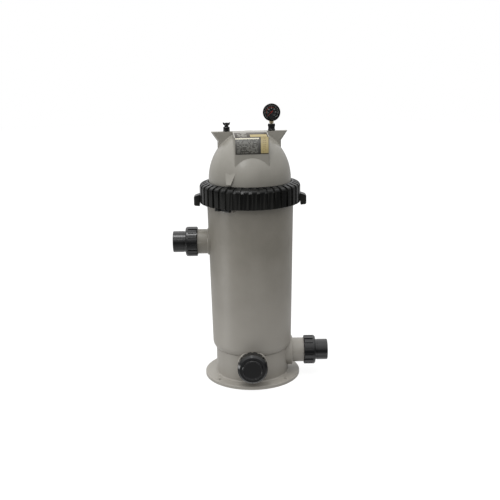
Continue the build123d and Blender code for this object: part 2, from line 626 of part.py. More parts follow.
def gauge_sector():
    """Toothed quadrant that drives the pinion; its teeth are drawn just short of mesh."""
    reach = 8.85
    blade = extrude(Pos(0, 0, -2.8) * make_face(Polyline(
        (1.2, -1.4), (-reach + 0.9, -4.6), (-reach + 0.3, 0), (-reach + 0.9, 4.6), (1.2, 1.4),
        close=True)), 1.0)
    tooth = block((-reach, -reach + 1), (-0.3, 0.3), (-2.8, -1.8))
    teeth = [Rot(0, 0, step * 6) * tooth for step in range(-4, 5)]
    arbor = disc(0.85, -5.0, 0.8)
    return GAUGE * Pos(11, 0, 0) * Rot(0, 0, -20) * (blade + teeth + arbor)


def gauge_bourdon_tube():
    """Flattened C-shaped tube that uncurls with pressure."""
    coil = pipe(21.2, 19.6, -7.0, -2.0)
    opening = extrude(Pos(0, 0, -10) * make_face(Polyline(
        (0, 0), (6.2, -12), (6.2, -30), (-30, -30), (-30, 12), close=True)), 12)
    return GAUGE * (coil - opening)


def cartridge_media():
    return pipe(MEDIA_R, MEDIA_IN_R, CART_LOW_Z + CART_CAP_T, CART_TOP_Z - CART_CAP_T)


def cartridge_core():
    """Perforated tube inside the pleats."""
    low = CART_LOW_Z + CART_CAP_T
    high = CART_TOP_Z - CART_CAP_T
    core = pipe(CORE_R, CORE_R - CORE_T, low, high)
    rows = 14
    pitch = (high - low) / rows
    slot = block((CORE_R - 6, CORE_R + 2), (-5, 5), (-11, 11))
    for row in range(rows):
        height = low + (row + 0.5) * pitch
        core -= [Pos(0, 0, height) * Rot(0, 0, (row % 2) * 30) * piece
                 for piece in around(6, slot)]
    return core


def cartridge_cap(hole_r):
    """Moulded end cap, lying on z = 0, with a raised rim round its pleats."""
    return turned((hole_r, 0), (CART_R - 3, 0), (CART_R, 3), (CART_R, CART_CAP_T + 6),
                  (MEDIA_R + 0.2, CART_CAP_T + 6), (MEDIA_R + 0.2, CART_CAP_T),
                  (hole_r, CART_CAP_T))


def cartridge_bottom_cap():
    return Pos(0, 0, CART_LOW_Z) * cartridge_cap(32.0)


def cartridge_top_cap():
    """Closed cap with a bridge handle over the air tube's hole."""
    cap = Pos(0, 0, CART_TOP_Z) * Rot(180, 0, 0) * cartridge_cap(TUBE_R + 0.8)
    recess = pipe(42, 16, CART_TOP_Z - 8, CART_TOP_Z + 1)
    handle = block((-46, 46), (-9, 9), (CART_TOP_Z - 9, CART_TOP_Z))
    return cap - recess + (handle - disc(TUBE_R + 0.8, CART_TOP_Z - 20, CART_TOP_Z + 1))


def cartridge_bands():
    """Three straps that hold the pleats together, as separate solids."""
    return Compound([pipe(MEDIA_R + 1.4, MEDIA_R, height - 8, height + 8) for height in BAND_Z])


def cartridge_seal():
    low = CART_LOW_Z + 3
    return turned((29.1, low), (32.0, low - 2), (32.0, low + 10), (30.4, low + 10), (29.1, low + 4))


PARTS = {
    "tank_shell": tank_shell,
    "inlet_baffle": inlet_baffle,
    "outlet_elbow": outlet_elbow,
    "outlet_elbow_seal": outlet_elbow_seal,
    "breather_tube": breather_tube,
    "breather_screen": breather_screen,
    "lid_seal": lid_seal,
    "lock_tab": lock_tab,
    "lock_tab_pin": lock_tab_pin,
    "lock_tab_spring": lock_tab_spring,
    "inlet_union_nut": lambda: INLET * union_nut(PORT_NECK_END + NUT_PAST_NECK, TAIL_R + 0.8),
    "inlet_tailpiece": lambda: INLET * tailpiece(),
    "inlet_union_seal": lambda: INLET * union_seal(PORT_NECK_END),
    "outlet_union_nut": lambda: OUTLET * union_nut(PORT_NECK_END + NUT_PAST_NECK, TAIL_R + 0.8),
    "outlet_tailpiece": lambda: OUTLET * tailpiece(),
    "outlet_union_seal": lambda: OUTLET * union_seal(PORT_NECK_END),
    "drain_nut": lambda: DRAIN * union_nut(DRAIN_NECK_END + NUT_PAST_NECK, PLUG_R + 0.8, 7.0),
    "drain_plug": lambda: DRAIN * drain_plug(),
    "drain_seal": lambda: DRAIN * union_seal(DRAIN_NECK_END),
    "lock_ring": lock_ring,
    "lid_dome": lid_dome,
    "rating_label": rating_label,
    "relief_body": relief_body,
    "relief_plunger": relief_plunger,
    "relief_seal": relief_seal,
    "relief_knob": relief_knob,
    "gauge_adapter": gauge_adapter,
    "gauge_seal": gauge_seal,
    "gauge_socket": gauge_socket,
    "gauge_case": gauge_case,
    "gauge_bezel": gauge_bezel,
    "gauge_lens": gauge_lens,
    "gauge_dial": gauge_dial,
    "gauge_needle": gauge_needle,
    "gauge_pinion": gauge_pinion,
    "gauge_movement": gauge_movement,
    "gauge_sector": gauge_sector,
    "gauge_bourdon_tube": gauge_bourdon_tube,
    "cartridge_media": cartridge_media,
    "cartridge_core": cartridge_core,
    "cartridge_bottom_cap": cartridge_bottom_cap,
    "cartridge_top_cap": cartridge_top_cap,
    "cartridge_bands": cartridge_bands,
    "cartridge_seal": cartridge_seal,
}

os.makedirs("parts", exist_ok=True)
for name, make in PARTS.items():
    export_step(make(), f"parts/{name}.step")
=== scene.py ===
import json
import math

import bmesh
import bpy
from mathutils import Euler, Matrix, Vector


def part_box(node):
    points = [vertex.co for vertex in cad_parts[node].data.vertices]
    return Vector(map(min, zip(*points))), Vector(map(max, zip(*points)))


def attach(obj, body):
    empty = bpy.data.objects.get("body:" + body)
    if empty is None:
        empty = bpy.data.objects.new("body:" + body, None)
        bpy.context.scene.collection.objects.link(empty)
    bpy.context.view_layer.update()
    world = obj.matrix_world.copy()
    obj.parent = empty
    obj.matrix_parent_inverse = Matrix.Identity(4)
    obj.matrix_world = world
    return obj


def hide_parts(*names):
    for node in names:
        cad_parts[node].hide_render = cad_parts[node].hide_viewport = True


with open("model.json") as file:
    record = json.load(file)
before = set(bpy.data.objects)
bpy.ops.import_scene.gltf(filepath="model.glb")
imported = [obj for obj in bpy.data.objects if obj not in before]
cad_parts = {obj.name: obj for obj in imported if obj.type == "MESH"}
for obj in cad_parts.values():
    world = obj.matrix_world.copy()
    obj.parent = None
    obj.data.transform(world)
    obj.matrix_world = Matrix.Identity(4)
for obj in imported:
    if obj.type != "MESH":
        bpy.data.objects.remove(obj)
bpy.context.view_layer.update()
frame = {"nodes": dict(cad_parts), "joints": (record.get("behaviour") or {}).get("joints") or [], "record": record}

MM = 0.001
TURN = 2 * math.pi

# Lid and label
LID_TURN = 4.0                 # degrees the lid stands round from the tank's front
LABEL_W = 107 * MM
LABEL_FRONT_Y = -118.5 * MM
LABEL_FOLD_Z = 853.5 * MM
LABEL_BACK = 72 * MM           # how far the label runs back over the top

# Pleated cloth
MEDIA_LOW, MEDIA_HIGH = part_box("cartridge_media")
MEDIA_TIP_R = (MEDIA_HIGH.x - MEDIA_LOW.x) / 2
MEDIA_CORE_R = 50.6 * MM
PLEATS = 120
CLOTH_T = 0.7 * MM
FOLD_OUT_R = 1.2 * MM          # radius of a fold at the tips
FOLD_IN_R = 0.55 * MM          # and at the core
FOLD_STEPS = 4
FOLD_LEVELS = 36
FREE_AFTER = 45 * MM           # distance from a strap or cap at which the folds wander freely
TIP_DIP = 0.9 * MM             # most that a tip sinks in between the straps

# Straps round the cloth
STRAP_Z = (290 * MM, 447 * MM, 604 * MM)
STRAP_W = 16 * MM
STRAP_T = 1.3 * MM
STRAP_YARNS = 600
STRAP_ROWS = 9
YARN_PITCH = 4 * MM
YARN_BUMP = 0.1 * MM

# Gauge dial
DIAL_LIFT = 2.8 * MM           # printed face of the dial, in front of the needle's pivot point
DIAL_R = 25 * MM
DIAL_SWEEP = 270.0
DIAL_ZERO = 225.0              # degrees anticlockwise from the right
DIAL_TOP = 60
INK_BASE = DIAL_LIFT - 0.02 * MM
INK_TOP = DIAL_LIFT + 0.06 * MM
DIAL_ZONE = (6, 38)            # readings between which the coloured band runs


# ---------------------------------------------------------------- node helpers

class Nodes:
    """Small wrapper that adds nodes to a material or world and links them in one call."""

    def __init__(self, owner, output="OutputMaterial"):
        owner.use_nodes = True
        self.owner = owner
        self.tree = owner.node_tree
        self.tree.nodes.clear()
        self.output = self.tree.nodes.new("ShaderNode" + output)

    def place(self):
        """Position in the row frame at rest, which moves with the part."""
        return self.add("TexCoord").outputs["Object"]

    def add(self, kind, settings=None, **inputs):
        node = self.tree.nodes.new("ShaderNode" + kind)
        for key, value in (settings or {}).items():
            setattr(node, key, value)
        for key, value in inputs.items():
            self.put(node.inputs[key.replace("_", " ")], value)
        return node

    def put(self, socket, value):
        if isinstance(value, bpy.types.NodeSocket):
            self.tree.links.new(value, socket)
        elif isinstance(value, bpy.types.Node):
            self.tree.links.new(value.outputs[0], socket)
        else:
            socket.default_value = value

    def fill(self, node, *values):
        """Puts values in a node's inputs in their order."""
        for socket, value in zip(node.inputs, values):
            self.put(socket, value)
        return node

    def math(self, operation, *values, clamp=False):
        node = self.add("Math", {"operation": operation, "use_clamp": clamp})
        return self.fill(node, *values).outputs[0]

    def mix(self, share, a, b):
        node = self.add("Mix", {"data_type": "RGBA"})
        for index, value in ((0, share), (6, a), (7, b)):
            self.put(node.inputs[index], value)
        return node.outputs[2]

    def ramp(self, value, low, high, out_low=0.0, out_high=1.0):
        node = self.add("MapRange", {"clamp": True}, Value=value)
        for key, number in (("From Min", low), ("From Max", high),
                            ("To Min", out_low), ("To Max", out_high)):
            node.inputs[key].default_value = number
        return node.outputs[0]

    def noise(self, place, scale, detail=4.0, roughness=0.55):
        node = self.add("TexNoise", Vector=place, Scale=scale, Detail=detail)
        node.inputs["Roughness"].default_value = roughness
        return node.outputs[0]

    def finish(self, color, roughness, bump=None, bump_depth=0.0002, **extra):
        shader = self.add("BsdfPrincipled")
        self.put(shader.inputs["Base Color"], color)
        self.put(shader.inputs["Roughness"], roughness)
        for key, value in extra.items():
            self.put(shader.inputs[key.replace("_", " ")], value)
        if bump is not None:
            node = self.add("Bump", Height=bump)
            node.inputs["Distance"].default_value = bump_depth
            node.inputs["Strength"].default_value = 1.0
            self.put(shader.inputs["Normal"], node.outputs[0])
        return self.show(shader)

    def show(self, shader):
        self.put(self.output.inputs["Surface"], shader)
        return self.owner


def new_material(name):
    return Nodes(bpy.data.materials.new(name))


def rgb(red, green, blue):
    """Linear colour from 0-255 screen values."""
    def linear(value):
        value /= 255
        return value / 12.92 if value <= 0.04045 else ((value + 0.055) / 1.055) ** 2.4
    return (linear(red), linear(green), linear(blue), 1.0)


def moulded_plastic(name, color, dark, light, roughness, grain_depth, sheen=0.5, painted_bounce=0.0):
    """Moulded plastic: pebble grain, flow mottling, painted shade in concave corners, painted highlight on convex
    edges, and painted bounce light that makes it lighter low down.
    """
    n = new_material(name)
    place = n.place()
    edge = n.add("NewGeometry").outputs["Pointiness"]
    cloud = n.noise(place, 7.0, 5.0)
    stretched = n.add("Mapping", Vector=place, Scale=(26.0, 26.0, 2.5)).outputs[0]
    streak = n.noise(stretched, 1.0, 3.0)
    body = n.mix(n.ramp(cloud, 0.35, 0.68), color, dark)
    body = n.mix(n.ramp(streak, 0.5, 0.85, 0.0, 0.12), body, light)
    height = n.add("SeparateXYZ", Vector=place).outputs[2]
    # painted bounce light: lighter towards the bottom, by the share given
    body = n.mix(n.ramp(height, 0.50, 0.18, 0.0, painted_bounce), body, light)
    # painted highlight: lighter on convex edges
    body = n.mix(n.ramp(edge, 0.52, 0.60, 0.0, 0.5), body, light)
    # painted shade: darker in concave corners and creases
    body = n.mix(n.ramp(edge, 0.49, 0.43, 0.0, 0.5), body, dark)
    body = n.mix(n.ramp(n.noise(place, 700.0, 2.0), 0.62, 0.75, 0.0, 0.22), body, dark)
    pebble = n.noise(place, 1100.0, 2.0)
    scuff = n.noise(n.add("Mapping", Vector=place, Scale=(40.0, 40.0, 320.0)).outputs[0], 1.0, 6.0)
    gloss = n.math("ADD", n.ramp(cloud, 0.3, 0.7, roughness - 0.05, roughness + 0.07),
                   n.ramp(scuff, 0.62, 0.78, 0.0, 0.12))
    return n.finish(body, gloss, pebble, grain_depth, Specular_IOR_Level=sheen)


def rubber():
    """Black O-ring rubber, matt, with bloom and a fine skin."""
    n = new_material("seal_rubber")
    place = n.place()
    bloom = n.noise(place, 60.0, 5.0)
    color = n.mix(n.ramp(bloom, 0.4, 0.75, 0.0, 0.6), rgb(22, 22, 23), rgb(50, 50, 49))
    return n.finish(color, n.ramp(bloom, 0.3, 0.7, 0.5, 0.75), n.noise(place, 900.0), 0.00005)


def filter_cloth():
    """Spun polyester: tangled fibres pressed flat, off-white, with painted shade deep down in the folds."""
    n = new_material("pleated_cloth")
    place = n.place()
    spread = n.add("SeparateXYZ", Vector=place)
    radius = n.math("SQRT", n.math("ADD", n.math("POWER", spread.outputs[0], 2.0),
                                   n.math("POWER", spread.outputs[1], 2.0)))
    fibre = n.noise(n.add("Mapping", Vector=place, Scale=(1900.0, 1900.0, 260.0)).outputs[0],
                    1.0, 5.0)
    across = n.noise(n.add("Mapping", Vector=place, Scale=(500.0, 500.0, 2200.0)).outputs[0],
                     1.0, 4.0)
    tangle = n.math("MULTIPLY", fibre, across)
    stain = n.noise(place, 16.0, 5.0)
    color = n.mix(n.ramp(tangle, 0.16, 0.36), rgb(206, 203, 195), rgb(240, 239, 234))
    color = n.mix(n.ramp(stain, 0.5, 0.8, 0.0, 0.35), color, rgb(196, 188, 168))
    # painted shade: darker the deeper down in the folds, towards the core
    color = n.mix(n.ramp(radius, MEDIA_TIP_R - 0.004, MEDIA_TIP_R - 0.03, 0.0, 0.7), color,
                  rgb(150, 146, 136))
    return n.finish(color, 0.92, tangle, 0.00025, Sheen_Weight=0.3)


def woven_strap():
    """Plain-weave polyester tape with darker gaps between its yarns."""
    n = new_material("woven_strap")
    place = n.place()
    spread = n.add("SeparateXYZ", Vector=place)
    around = n.math("ARCTAN2", spread.outputs[1], spread.outputs[0])
    warp = n.math("SINE", n.math("MULTIPLY", around, STRAP_YARNS / 2))
    weft = n.math("SINE", n.math("MULTIPLY", spread.outputs[2], TURN / YARN_PITCH))
    weave = n.math("ABSOLUTE", n.math("MULTIPLY", warp, weft))
    fray = n.noise(place, 1500.0, 4.0)
    color = n.mix(n.ramp(weave, 0.0, 0.6), rgb(168, 166, 158), rgb(232, 231, 226))
    color = n.mix(n.ramp(fray, 0.55, 0.75, 0.0, 0.4), color, rgb(205, 200, 186))
    return n.finish(color, 0.85, n.math("ADD", weave, fray), 0.0002, Sheen_Weight=0.25)


def urethane():
    """Cast urethane end caps: satin blue-grey with flow swirls and small pits."""
    n = new_material("cap_urethane")
    place = n.place()
    swirl = n.noise(place, 22.0, 6.0)
    pits = n.add("TexVoronoi", Vector=place, Scale=420.0).outputs["Distance"]
    color = n.mix(n.ramp(swirl, 0.35, 0.7), rgb(58, 84, 112), rgb(78, 106, 134))
    # painted shade inside the small pits
    color = n.mix(n.ramp(pits, 0.12, 0.02, 0.0, 0.5), color, rgb(38, 56, 78))
    return n.finish(color, n.ramp(swirl, 0.3, 0.7, 0.34, 0.5), n.ramp(pits, 0.0, 0.2), 0.0001)


def white_moulding():
    """Off-white moulded fittings inside the tank, a little yellowed, with a fine grain."""
    n = new_material("white_plastic")
    place = n.place()
    cloud = n.noise(place, 14.0, 5.0)
    edge = n.add("NewGeometry").outputs["Pointiness"]
    color = n.mix(n.ramp(cloud, 0.35, 0.7), rgb(226, 224, 214), rgb(212, 206, 190))
    # painted shade: darker in concave corners and creases
    color = n.mix(n.ramp(edge, 0.48, 0.42, 0.0, 0.5), color, rgb(160, 154, 138))
    return n.finish(color, n.ramp(cloud, 0.3, 0.7, 0.35, 0.5), n.noise(place, 800.0), 0.00006)


def metal(name, bright, dull, roughness, brushed=(900.0, 900.0, 60.0)):
    """Turned or drawn metal: fine brush lines, and dull tarnish in patches and corners."""
    n = new_material(name)
    place = n.place()
    lines = n.noise(n.add("Mapping", Vector=place, Scale=brushed).outputs[0], 1.0, 3.0)
    patch = n.noise(place, 120.0, 5.0)
    edge = n.add("NewGeometry").outputs["Pointiness"]
    tarnish = n.math("ADD", n.ramp(patch, 0.5, 0.75, 0.0, 0.7),
                     n.ramp(edge, 0.49, 0.42, 0.0, 0.6), clamp=True)
    return n.finish(n.mix(tarnish, bright, dull),
                    n.ramp(lines, 0.3, 0.7, roughness - 0.08, roughness + 0.12),
                    lines, 0.00003, Metallic=1.0)


def printed_paint(name, color, speck, roughness):
    """Printed or sprayed paint with tiny specks and an uneven gloss."""
    n = new_material(name)
    place = n.place()
    grit = n.noise(place, 1800.0, 3.0)
    cloud = n.noise(place, 150.0, 3.0)
    return n.finish(n.mix(n.ramp(grit, 0.55, 0.75, 0.0, 0.6), color, speck),
                    n.ramp(cloud, 0.3, 0.7, roughness - 0.06, roughness + 0.08), grit, 0.00001)


def clear_window():
    """Clear acrylic: see-through straight on, glossy at a slant, with smears and hairlines."""
    n = new_material("clear_lens")
    place = n.place()
    smear = n.noise(place, 70.0, 4.0)
    hair = n.noise(n.add("Mapping", Vector=place, Scale=(900.0, 900.0, 90.0)).outputs[0], 1.0)
    see = n.add("BsdfTransparent", Color=(0.97, 0.98, 0.98, 1.0))
    shine = n.add("BsdfGlossy", Color=(1.0, 1.0, 1.0, 1.0))
    n.put(shine.inputs["Roughness"], n.ramp(hair, 0.4, 0.7, 0.02, 0.12))
    slant = n.add("LayerWeight", Blend=0.22).outputs["Fresnel"]
    cover = n.math("ADD", slant, n.ramp(smear, 0.55, 0.8, 0.0, 0.05), clamp=True)
    return n.show(n.fill(n.add("MixShader"), cover, see, shine))


def rating_plate():
    """Printed label folded over an edge: dark panel with rows of grey marks, gold border."""
    n = new_material("label")
    turned = n.add("Mapping", Vector=n.place(), Rotation=(0.0, 0.0, -math.radians(LID_TURN)))
    spread = n.add("SeparateXYZ", Vector=turned.outputs[0])
    across, depth, height = spread.outputs
    low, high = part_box("rating_label")
    u = n.ramp(across, -LABEL_W / 2, LABEL_W / 2)
    v = n.ramp(height, low.z, LABEL_FOLD_Z)
    back = n.ramp(depth, LABEL_FRONT_Y, LABEL_FRONT_Y + LABEL_BACK)
    on_front = n.math("LESS_THAN", depth, LABEL_FRONT_Y - 0.0002)

    def band(value, start, end):
        return n.math("MULTIPLY", n.math("GREATER_THAN", value, start),
                      n.math("LESS_THAN", value, end))

    def rows(value, count, fill, seed, length):
        """Rows of dashes of uneven length that stand in for print."""
        line = n.math("LESS_THAN", n.math("FRACT", n.math("MULTIPLY", value, count)), fill)
        which = n.math("FLOOR", n.math("MULTIPLY", value, count))
        cell = n.add("CombineXYZ", X=n.math("MULTIPLY", u, length),
                     Y=n.math("MULTIPLY", which, 7.31), Z=seed)
        word = n.add("TexNoise", Vector=cell.outputs[0], Scale=1.0, Detail=0.0).outputs[0]
        return n.math("MULTIPLY", line, n.math("GREATER_THAN", word, 0.46))

    ink = rgb(58, 56, 51)
    grey = rgb(112, 112, 106)
    gold = rgb(158, 143, 98)
    brown = rgb(52, 45, 36)
    cream = rgb(214, 209, 190)
    panel = n.mix(n.math("MULTIPLY", rows(v, 13.0, 0.5, 1.0, 16.0), band(u, 0.05, 0.68)), ink, grey)
    panel = n.mix(band(v, 0.90, 0.97), panel, cream)
    panel = n.mix(n.math("GREATER_THAN", v, 0.97), panel, ink)
    panel = n.mix(band(u, 0.72, 0.77), panel, rgb(42, 41, 38))
    side = n.mix(n.math("MULTIPLY", rows(v, 9.0, 0.4, 5.0, 40.0), band(u, 0.83, 0.93)), gold,
                 rgb(120, 104, 66))
    front = n.mix(n.math("GREATER_THAN", u, 0.77), panel, side)
    front = n.mix(n.math("LESS_THAN", v, 0.05), front, rgb(38, 37, 34))
    marks = n.math("MULTIPLY", rows(back, 6.0, 0.45, 9.0, 14.0), band(u, 0.08, 0.36))
    top = n.mix(marks, brown, rgb(150, 148, 140))
    bar = n.math("MULTIPLY", band(u, 0.46, 0.97), band(back, 0.04, 0.55))
    top = n.mix(bar, top, gold)
    color = n.mix(on_front, top, front)
    wear = n.noise(n.place(), 55.0, 6.0)
    color = n.mix(n.ramp(wear, 0.55, 0.8, 0.0, 0.3), color, rgb(120, 116, 104))
    return n.finish(color, n.ramp(wear, 0.3, 0.7, 0.28, 0.45), n.noise(n.place(), 600.0), 0.00003)


# ---------------------------------------------------------------- look of every CAD node

LOOKS = {
    "tank_plastic": moulded_plastic("tank_plastic", rgb(134, 130, 121), rgb(120, 116, 107),
                                    rgb(166, 162, 155), 0.42, 0.00010, sheen=0.45, painted_bounce=0.6),
    "lid_plastic": moulded_plastic("lid_plastic", rgb(148, 145, 137), rgb(134, 131, 123),
                                   rgb(172, 169, 161), 0.30, 0.00008, sheen=0.65),
    "black_ring": moulded_plastic("black_ring", rgb(10, 10, 9), rgb(6, 6, 6),
                                  rgb(46, 46, 44), 0.27, 0.00008, sheen=0.22),
    "black_fitting": moulded_plastic("black_fitting", rgb(11, 12, 13), rgb(7, 7, 8),
                                     rgb(46, 47, 48), 0.16, 0.00004, sheen=0.5),
    "seal_rubber": rubber(),
    "white_plastic": white_moulding(),
    "pleated_cloth": filter_cloth(),
    "cap_urethane": urethane(),
    "steel": metal("steel", rgb(196, 197, 199), rgb(120, 118, 114), 0.28),
    "brass": metal("brass", rgb(228, 214, 178), rgb(150, 130, 92), 0.24),
    "dial_face": printed_paint("dial_face", rgb(18, 18, 19), rgb(34, 34, 35), 0.4),
    "needle_paint": printed_paint("needle_paint", rgb(205, 62, 48), rgb(150, 36, 28), 0.35),
    "clear_lens": clear_window(),
    "label": rating_plate(),
}
EDGE_ROUNDING = {              # mm; anything not named gets the last value
    "tank_shell": 1.0, "lock_ring": 1.0, "lid_dome": 0.8, "inlet_union_nut": 1.0,
    "outlet_union_nut": 1.0, "drain_nut": 1.0, "inlet_tailpiece": 0.7, "outlet_tailpiece": 0.7,
    "cartridge_top_cap": 1.2, "cartridge_bottom_cap": 1.2, "lock_tab": 0.6, "other": 0.25,
}
LONG_WALLS = ("tank_shell", "lid_dome")     # curved all over, so their facets stay as they are
NOT_ROUNDED = ("breather_screen", "gauge_pinion", "gauge_sector", "rating_label")


def dress(piece, look, rounding):
    """Gives a CAD node its material, rounded edges and smooth shading."""
    piece.data.materials.clear()
    piece.data.materials.append(look)
    piece.data.shade_smooth()
    if piece.data.has_custom_normals:
        piece.data.attributes.remove(piece.data.attributes["custom_normal"])
    weld = piece.modifiers.new("weld", "WELD")
    weld.merge_threshold = 0.004 * MM
    if piece.name not in LONG_WALLS:
        flats = piece.modifiers.new("whole_flats", "DECIMATE")
        flats.decimate_type = "DISSOLVE"
        flats.angle_limit = math.radians(0.2)
    if rounding:
        bevel = piece.modifiers.new("rounding", "BEVEL")
        bevel.width = rounding * MM
        bevel.segments = 2
        bevel.limit_method = "ANGLE"
        bevel.angle_limit = math.radians(38)
    piece.modifiers.new("even_shading", "WEIGHTED_NORMAL")


slots = {row["node"]: row["material_slot"] for row in frame["record"]["subparts"]}
for name, piece in frame["nodes"].items():
    rounding = 0 if name in NOT_ROUNDED else EDGE_ROUNDING.get(name, EDGE_ROUNDING["other"])
    dress(piece, LOOKS[slots[name]], rounding)


# ---------------------------------------------------------------- pieces built here

def link(name, data, look, body, slot_name, *nodes):
    """Puts a mesh in the scene as a piece of one body that stands for the CAD nodes named."""
    data.name = name
    piece = bpy.data.objects.new(name, data)
    bpy.context.scene.collection.objects.link(piece)
    data.materials.clear()
    data.materials.append(look)
    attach(piece, body)
    if nodes:
        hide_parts(*nodes)
    return piece


def tube_of_loops(loops):
    """Closed skin through loops of points: the loops join up in turn and the last to the first."""
    mesh = bmesh.new()
    rings = [[mesh.verts.new(point) for point in loop] for loop in loops]
    for ring, following in zip(rings, rings[1:] + rings[:1]):
        for i in range(len(ring)):
            j = (i + 1) % len(ring)
            mesh.faces.new((ring[i], ring[j], following[j], following[i]))
    bmesh.ops.recalc_face_normals(mesh, faces=mesh.faces)
    data = bpy.data.meshes.new("skin")
    mesh.to_mesh(data)
    mesh.free()
    data.shade_smooth()
    return data


def pleat_loop(height, skin):
    """One level of the folded cloth's outer (skin 1) or inner (skin -1) surface."""
    tip_r = FOLD_OUT_R + skin * CLOTH_T / 2
    root_r = FOLD_IN_R - skin * CLOTH_T / 2
    near_strap = min(abs(height - place) for place in STRAP_Z)
    near_end = min(height - MEDIA_LOW.z, MEDIA_HIGH.z - height)
    free = min(1.0, near_strap / FREE_AFTER, near_end / FREE_AFTER)
    points = []
    for pleat in range(PLEATS):
        centre = TURN * pleat / PLEATS
        wander = free * (0.22 * math.sin(pleat * 2.4 + height * 31) +
                         0.16 * math.sin(pleat * 5.1 - height * 57)) * TURN / PLEATS
        dip = free * TIP_DIP * (0.5 + 0.5 * math.sin(pleat * 1.7 + height * 23))
        tip_centre = MEDIA_TIP_R - FOLD_OUT_R - CLOTH_T / 2 - 0.05 * MM - dip
        root_centre = MEDIA_CORE_R + FOLD_IN_R + CLOTH_T / 2
        for base, turn, radius, sign in ((tip_centre, centre + wander, tip_r, 1),
                                         (root_centre, centre + TURN / PLEATS / 2, root_r, -1)):
            for step in range(FOLD_STEPS + 1):
                swing = math.radians(-80 + 160 * step / FOLD_STEPS)
                out = base + sign * radius * math.cos(swing)
                aside = radius * math.sin(swing)
                points.append((out * math.cos(turn) - aside * math.sin(turn),
                               out * math.sin(turn) + aside * math.cos(turn), height))
    return points


def make_pleats():
    span = MEDIA_HIGH.z - MEDIA_LOW.z
    heights = [MEDIA_LOW.z + span * level / FOLD_LEVELS for level in range(FOLD_LEVELS + 1)]
    loops = [pleat_loop(height, 1) for height in heights]
    loops += [pleat_loop(height, -1) for height in reversed(heights)]
    return link("pleated_media", tube_of_loops(loops), LOOKS["pleated_cloth"], "cartridge",
                "pleated_cloth", "cartridge_media")


def strap_loop(out, height):
    """One edge line round a strap; the yarns show as small regular bumps."""
    points = []
    for step in range(STRAP_YARNS):
        turn = TURN * step / STRAP_YARNS
        weave = math.sin(step * math.pi / 2) * math.cos(height * TURN / YARN_PITCH)
        radius = out + (YARN_BUMP * weave if out > MEDIA_TIP_R + 0.5 * MM else 0)
        points.append((radius * math.cos(turn), radius * math.sin(turn), height))
    return points


def make_straps():
    look = woven_strap()
    for number, centre in enumerate(STRAP_Z, 1):
        inner = MEDIA_TIP_R + 0.02 * MM
        outer = inner + STRAP_T - 0.12 * MM
        edge = STRAP_W / 2 - 0.4 * MM
        loops = [strap_loop(inner, centre - edge)]
        loops += [strap_loop(outer - (0.35 * MM if row in (0, STRAP_ROWS) else 0),
                             centre - STRAP_W / 2 + STRAP_W * row / STRAP_ROWS)
                  for row in range(STRAP_ROWS + 1)]
        loops.append(strap_loop(inner, centre + edge))
        names = ("cartridge_bands",) if number == 1 else ()
        link("pleat_strap_%d" % number, tube_of_loops(loops), look, "cartridge",
             "pleated_cloth", *names)


def dial_frame():
    """Matrix from the dial's own frame (right, up, towards the viewer) to the row frame."""
    swing = next(joint for joint in frame["joints"] if joint["name"] == "needle_swing")
    out = -Vector(swing["axis"]).normalized()
    up = Vector((0, 0, 1))
    right = up.cross(out)
    turn = Matrix((right, up, out)).transposed().to_4x4()
    return Matrix.Translation(Vector(swing["pos_m"])) @ turn


def dial_angle(value):
    """Angle of a reading, anticlockwise from the right: zero is down and to the left."""
    return math.radians(DIAL_ZERO - DIAL_SWEEP * value / DIAL_TOP)


def prism(mesh, outline, low, high):
    bottom = [mesh.verts.new((x, y, low)) for x, y in outline]
    top = [mesh.verts.new((x, y, high)) for x, y in outline]
    mesh.faces.new(list(reversed(bottom)))
    mesh.faces.new(top)
    for i in range(len(outline)):
        j = (i + 1) % len(outline)
        mesh.faces.new((bottom[i], bottom[j], top[j], top[i]))


def arc_points(radius, start, end, steps):
    return [(radius * math.cos(start + (end - start) * i / steps),
             radius * math.sin(start + (end - start) * i / steps)) for i in range(steps + 1)]


def ink_mesh(outlines):
    """Flat raised ink on the dial, one low prism for each outline."""
    mesh = bmesh.new()
    for outline in outlines:
        prism(mesh, outline, INK_BASE, INK_TOP)
    bmesh.ops.recalc_face_normals(mesh, faces=mesh.faces)
    data = bpy.data.meshes.new("ink")
    mesh.to_mesh(data)
    mesh.free()
    data.transform(dial_frame())
    return data


def band_outline(inner, outer, start, end, steps):
    """Outline of a curved band between two readings."""
    turns = dial_angle(end), dial_angle(start)
    back = arc_points(DIAL_R - inner, *turns, steps)
    return arc_points(DIAL_R - outer, *turns, steps) + list(reversed(back))


def tick_outline(reading):
    along = Vector((math.cos(dial_angle(reading)), math.sin(dial_angle(reading))))
    long_tick = reading % 10 == 0
    aside = Vector((-along.y, along.x)) * ((0.5 if long_tick else 0.25) * MM)
    inner = along * (DIAL_R - (6.0 if long_tick else 4.0) * MM)
    outer = along * (DIAL_R - 1.6 * MM)
    corners = (inner - aside, outer - aside, outer + aside, inner + aside)
    return [tuple(corner) for corner in corners]


def make_dial_marks():
    """Raised ink on the dial: ticks, an arc, a pressure band and the numbers."""
    white = printed_paint("dial_ink", rgb(236, 236, 232), rgb(190, 190, 186), 0.45)
    red = printed_paint("zone_ink", rgb(188, 66, 48), rgb(140, 44, 34), 0.45)
    outlines = [tick_outline(reading) for reading in range(0, DIAL_TOP + 1, 2)]
    outlines.append(band_outline(1.7 * MM, 1.2 * MM, 0, DIAL_TOP, 48))
    link("dial_ticks", ink_mesh(outlines), white, "lid", "dial_face")
    zone = band_outline(9.0 * MM, 7.6 * MM, *DIAL_ZONE, 40)
    link("dial_zone", ink_mesh([zone]), red, "lid", "dial_face")
    for reading in range(0, DIAL_TOP + 1, 10):
        turn = dial_angle(reading)
        place = Vector((math.cos(turn), math.sin(turn), 0)) * (DIAL_R - 11.6 * MM)
        link("dial_number_%d" % reading, number_mesh(str(reading), place, 5.4 * MM), white,
             "lid", "dial_face")


